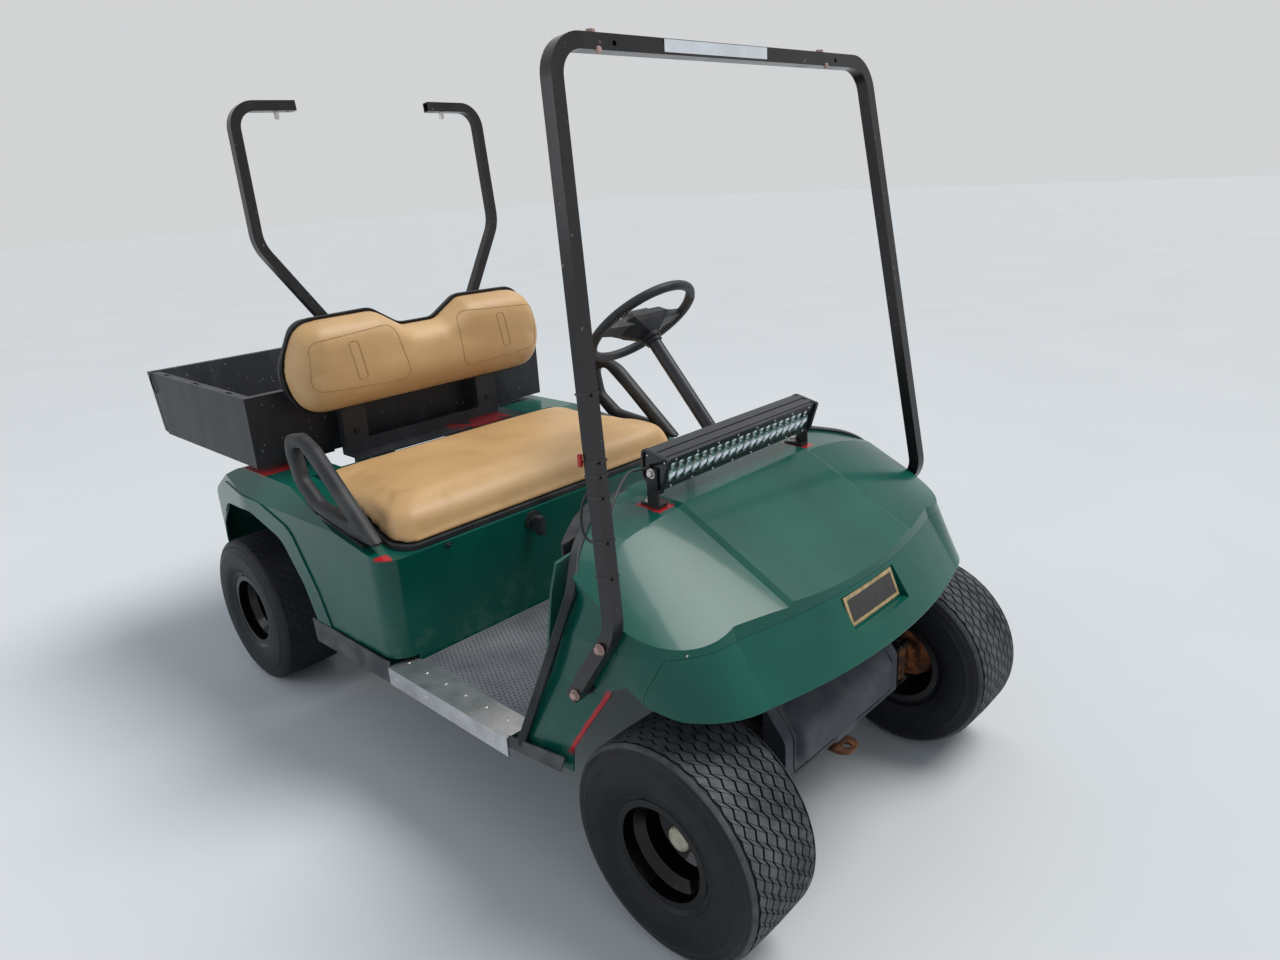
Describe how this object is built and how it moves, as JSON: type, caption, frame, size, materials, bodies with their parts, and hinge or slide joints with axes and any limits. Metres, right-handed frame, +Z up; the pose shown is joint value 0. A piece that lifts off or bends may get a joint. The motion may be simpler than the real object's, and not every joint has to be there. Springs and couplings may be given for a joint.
{
  "type": "golf cart",
  "caption": "Open two seat electric golf cart with a rear cargo box, front hoop, rear roof struts and no roof; steered front wheels, lifting seat and dropping tailgate.",
  "frame": {"origin": "on the ground under the middle of the bounding box", "axes": "+X forward, +Y to the cart's left, +Z up"},
  "size_m": [2.505, 1.171, 1.6848],
  "materials": {
    "tyre": "worn",
    "rim_paint": "gloss",
    "chassis_paint": "matt, dusty",
    "rusty_steel": "rusty",
    "mat": "ribbed, dusty",
    "rocker": "matt",
    "bare_aluminium": "brushed",
    "body_paint": "gloss paint",
    "battery": "matt",
    "black_plastic": "satin",
    "tan_vinyl": "satin",
    "black_paint": "satin",
    "pedal_rubber": "matt",
    "lamp_cover": "clear",
    "bracket": "satin"
  },
  "bodies": {
    "chassis": {"front_axle": "chassis_paint", "leaf_springs": "rusty_steel", "rear_axle": "chassis_paint", "frame": "chassis_paint", "floor_pan": "chassis_paint", "floor_mat": "mat", "rockers": "rocker", "sill_strips": "bare_aluminium", "seat_pod": "body_paint", "battery_pack": "battery", "seat_back_posts": "black_paint", "seat_back_shell": "black_plastic", "seat_back_cushion": "tan_vinyl", "roof_struts": "black_paint", "front_hoop": "black_paint", "cargo_box": "black_paint", "box_mounts": "black_paint", "cowl": "body_paint", "nose": "body_paint", "dash_panel": "black_plastic", "front_shield": "black_plastic", "tow_eye": "rusty_steel", "steering_column": "black_paint", "pedals": "pedal_rubber", "direction_knob": "black_plastic", "lamp_housing": "black_plastic", "lamp_lens": "lamp_cover", "lamp_feet": "bracket"},
    "seat": {"seat_base": "black_plastic", "seat_cushion": "tan_vinyl", "armrests": "black_plastic"},
    "tailgate": {"tailgate": "black_paint"},
    "steering_wheel": {"steering_wheel": "black_plastic"},
    "knuckle_right": {"knuckle_right": "rusty_steel"},
    "knuckle_left": {"knuckle_left": "rusty_steel"},
    "tie_rod": {"tie_rod": "rusty_steel"},
    "wheel_front_right": {"tyre_front_right": "tyre", "rim_front_right": "rim_paint"},
    "wheel_front_left": {"tyre_front_left": "tyre", "rim_front_left": "rim_paint"},
    "wheel_rear_right": {"tyre_rear_right": "tyre", "rim_rear_right": "rim_paint"},
    "wheel_rear_left": {"tyre_rear_left": "tyre", "rim_rear_left": "rim_paint"}
  },
  "joints": [
    {"name": "steer", "type": "hinge", "parent": "chassis", "child": "knuckle_right", "pos_m": [1.02401, -0.356, 0.2285], "axis": [0, 0, 1], "range_deg": [-30, 30]},
    {"name": "steer_left", "type": "hinge", "parent": "chassis", "child": "knuckle_left", "pos_m": [1.02401, 0.356, 0.2285], "axis": [0, 0, 1], "range_deg": [-30, 30]},
    {"name": "tie_rod_slide", "type": "slide", "parent": "chassis", "child": "tie_rod", "axis": [0, 1, 0], "range_m": [-0.058, 0.058]},
    {"name": "steering_wheel_turn", "type": "hinge", "parent": "chassis", "child": "steering_wheel", "pos_m": [0.25801, 0.285, 1.05], "axis": [-0.6574, 0, 0.7536], "range_deg": [-360, 360]},
    {"name": "seat_lift", "type": "hinge", "parent": "chassis", "child": "seat", "pos_m": [-0.30699, 0, 0.672], "axis": [0, -1, 0], "range_deg": [0, 70]},
    {"name": "tailgate_drop", "type": "hinge", "parent": "chassis", "child": "tailgate", "pos_m": [-1.20399, 0, 0.71], "axis": [0, -1, 0], "range_deg": [0, 104]},
    {"name": "spin_front_right", "type": "hinge", "parent": "knuckle_right", "child": "wheel_front_right", "pos_m": [1.02401, -0.45, 0.2285], "axis": [0, 1, 0], "continuous": true},
    {"name": "spin_front_left", "type": "hinge", "parent": "knuckle_left", "child": "wheel_front_left", "pos_m": [1.02401, 0.45, 0.2285], "axis": [0, 1, 0], "continuous": true},
    {"name": "spin_rear_right", "type": "hinge", "parent": "chassis", "child": "wheel_rear_right", "pos_m": [-0.65399, -0.478, 0.2285], "axis": [0, 1, 0], "continuous": true},
    {"name": "spin_rear_left", "type": "hinge", "parent": "chassis", "child": "wheel_rear_left", "pos_m": [-0.65399, 0.478, 0.2285], "axis": [0, 1, 0], "continuous": true}
  ],
  "couplings": [
    {"joint": "steer_left", "follows": "steer", "ratio": 1},
    {"joint": "tie_rod_slide", "follows": "steer", "m_per_rad": -0.11},
    {"joint": "steering_wheel_turn", "follows": "steer", "ratio": 12}
  ]
}
